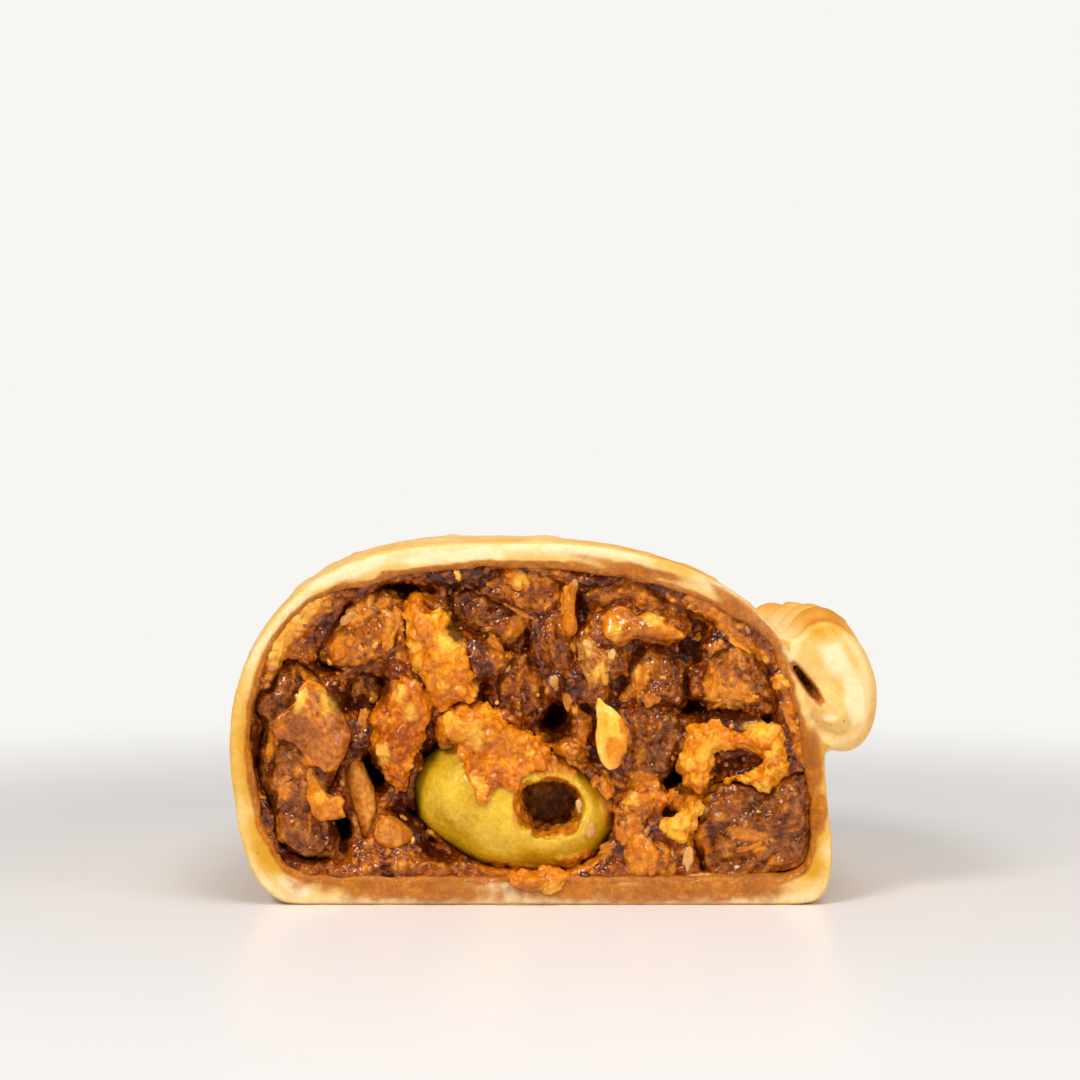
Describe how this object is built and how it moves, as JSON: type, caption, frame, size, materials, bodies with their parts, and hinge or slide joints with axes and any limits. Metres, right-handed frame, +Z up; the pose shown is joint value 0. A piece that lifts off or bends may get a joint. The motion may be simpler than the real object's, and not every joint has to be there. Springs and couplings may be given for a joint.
{
  "type": "empanada half",
  "caption": "Half of a baked beef empanada as cut, its wall of dough and rolled seam round a filling of beef, egg, onion and green olive.",
  "frame": {"origin": "middle of the half's footprint, at the height of its flat underside", "axes": "-Y out of the cut face, +Y to the tip, -X the folded side, +X the side with the rolled seam, +Z up"},
  "size_m": [0.0751, 0.0756, 0.0423],
  "materials": {
    "crust": "baked dough, pale cream with golden folds, satin",
    "stew": "wet orange-brown sauce and mince",
    "beef": "moist braised beef",
    "egg": "moist boiled egg, stained orange by the sauce",
    "olive": "smooth, oily green olive",
    "onion": "soft translucent onion",
    "garlic": "pale soft garlic"
  },
  "bodies": {
    "root": {"beef_bottom": "beef", "beef_centre": "beef", "beef_dark_right": "beef", "beef_left": "beef", "beef_low_left": "beef", "beef_lower_right": "beef", "beef_mid_right": "beef", "beef_middle": "beef", "beef_nubbly": "beef", "beef_top_centre": "beef", "beef_top_dark": "beef", "beef_top_right": "beef", "beef_upper_left": "beef", "beef_upper_right": "beef", "crust": "crust", "egg_bit": "egg", "egg_bottom": "egg", "egg_curl": "egg", "egg_left": "egg", "egg_over_olive": "egg", "egg_top": "egg", "garlic_slice": "garlic", "green_olive": "olive", "onion_dice": "onion", "onion_flap": "onion", "onion_petal": "onion", "onion_slice": "onion", "onion_strip": "onion", "onion_thread": "onion", "onion_wedge": "onion", "stew": "stew"}
  },
  "joints": []
}
